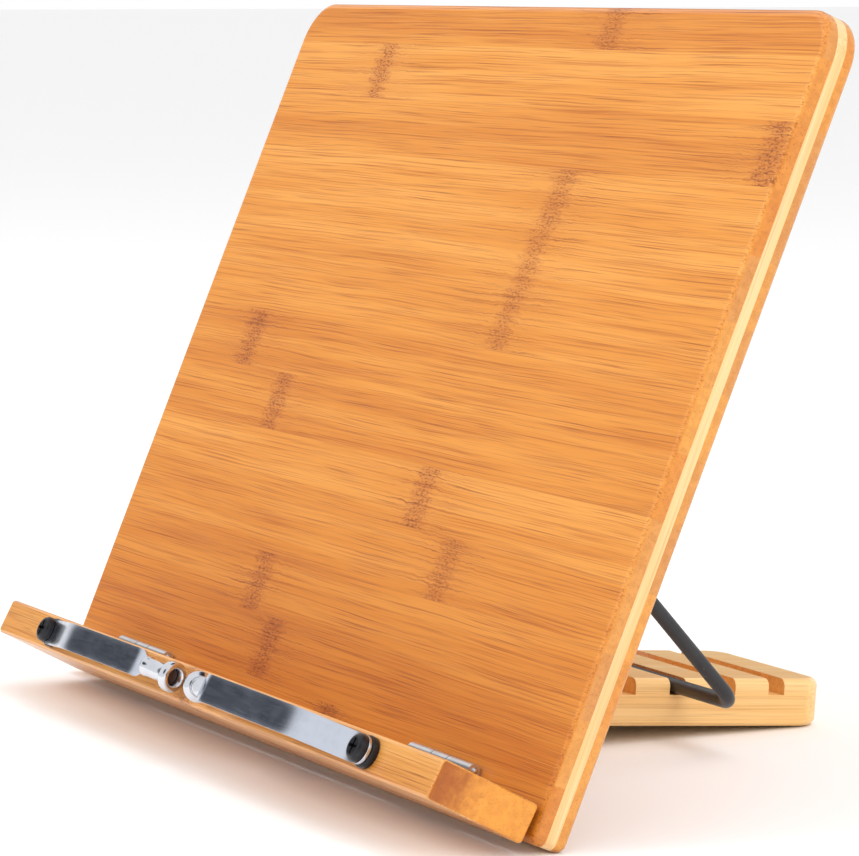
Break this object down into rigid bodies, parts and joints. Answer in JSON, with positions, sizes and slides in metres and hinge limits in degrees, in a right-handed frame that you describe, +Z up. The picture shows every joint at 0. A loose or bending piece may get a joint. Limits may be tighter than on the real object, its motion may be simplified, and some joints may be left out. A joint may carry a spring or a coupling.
{
  "type": "book stand",
  "caption": "Leaning bamboo book board with a hinged page ledge, swinging page clips and a slotted fold-out foot locked by a wire bail.",
  "frame": {"origin": "on the table, under the middle of the stand's overall box", "axes": "+X to the right along the board as a reader sees it, +Y from the reader towards the foot, +Z up"},
  "size_m": [0.34, 0.2142, 0.224],
  "materials": {
    "bamboo_caramel": "satin clear coat",
    "bamboo_light": "satin clear coat",
    "bamboo_ledge": "satin clear coat",
    "bamboo_foot": "satin clear coat",
    "zinc_hinge": "zinc plated",
    "zinc_screw": "zinc plated",
    "clip_steel": "dark polished spring steel",
    "cap_silver": "bright plated",
    "cap_plug": "matte",
    "black_screw": "black oxide",
    "black_washer": "black oxide",
    "black_strap": "satin black",
    "black_wire": "satin black"
  },
  "bodies": {
    "board": {"board_front_ply": "bamboo_caramel", "board_core_ply": "bamboo_light", "board_back_ply": "bamboo_caramel", "bail_bracket_left": "black_strap", "bail_bracket_right": "black_strap", "bail_bracket_left_screws": "black_screw", "bail_bracket_right_screws": "black_screw", "ledge_hinge_left_board_leaf": "zinc_hinge", "ledge_hinge_left_pin": "zinc_hinge", "ledge_hinge_left_board_screws": "zinc_screw", "ledge_hinge_right_board_leaf": "zinc_hinge", "ledge_hinge_right_pin": "zinc_hinge", "ledge_hinge_right_board_screws": "zinc_screw", "foot_hinge_left_board_leaf": "zinc_hinge", "foot_hinge_left_pin": "zinc_hinge", "foot_hinge_left_board_screws": "zinc_screw", "foot_hinge_right_board_leaf": "zinc_hinge", "foot_hinge_right_pin": "zinc_hinge", "foot_hinge_right_board_screws": "zinc_screw"},
    "ledge": {"ledge_bar": "bamboo_ledge", "ledge_hinge_left_swing_leaf": "zinc_hinge", "ledge_hinge_left_swing_screws": "zinc_screw", "ledge_hinge_right_swing_leaf": "zinc_hinge", "ledge_hinge_right_swing_screws": "zinc_screw", "clip_left_screw": "black_screw", "clip_left_washer": "black_washer", "clip_right_screw": "black_screw", "clip_right_washer": "black_washer"},
    "clip_left": {"clip_left_arm": "clip_steel", "clip_left_cap": "cap_silver", "clip_left_plug": "cap_plug"},
    "clip_right": {"clip_right_arm": "clip_steel", "clip_right_cap": "cap_silver", "clip_right_plug": "cap_plug"},
    "foot": {"foot_block": "bamboo_foot", "foot_hinge_left_swing_leaf": "zinc_hinge", "foot_hinge_left_swing_screws": "zinc_screw", "foot_hinge_right_swing_leaf": "zinc_hinge", "foot_hinge_right_swing_screws": "zinc_screw"},
    "bail": {"bail": "black_wire"}
  },
  "joints": [
    {"name": "ledge_fold", "type": "hinge", "parent": "board", "child": "ledge", "pos_m": [0, -0.0648, 0.01631], "axis": [-1, 0, 0], "range_deg": [0, 90]},
    {"name": "clip_left_swing", "type": "hinge", "parent": "ledge", "child": "clip_left", "pos_m": [-0.106, -0.09595, 0.02352], "axis": [0, 0.8838, -0.4679], "range_deg": [-90, 0]},
    {"name": "clip_right_swing", "type": "hinge", "parent": "ledge", "child": "clip_right", "pos_m": [0.129, -0.09595, 0.02352], "axis": [0, -0.8838, 0.4679], "range_deg": [-90, 0]},
    {"name": "foot_open", "type": "hinge", "parent": "board", "child": "foot", "pos_m": [0, -0.04298, 0.02873], "axis": [-1, 0, 0], "range_deg": [0, 16]},
    {"name": "bail_swing", "type": "hinge", "parent": "board", "child": "bail", "pos_m": [0, -0.01487, 0.09457], "axis": [1, 0, 0], "range_deg": [0, 115]}
  ]
}
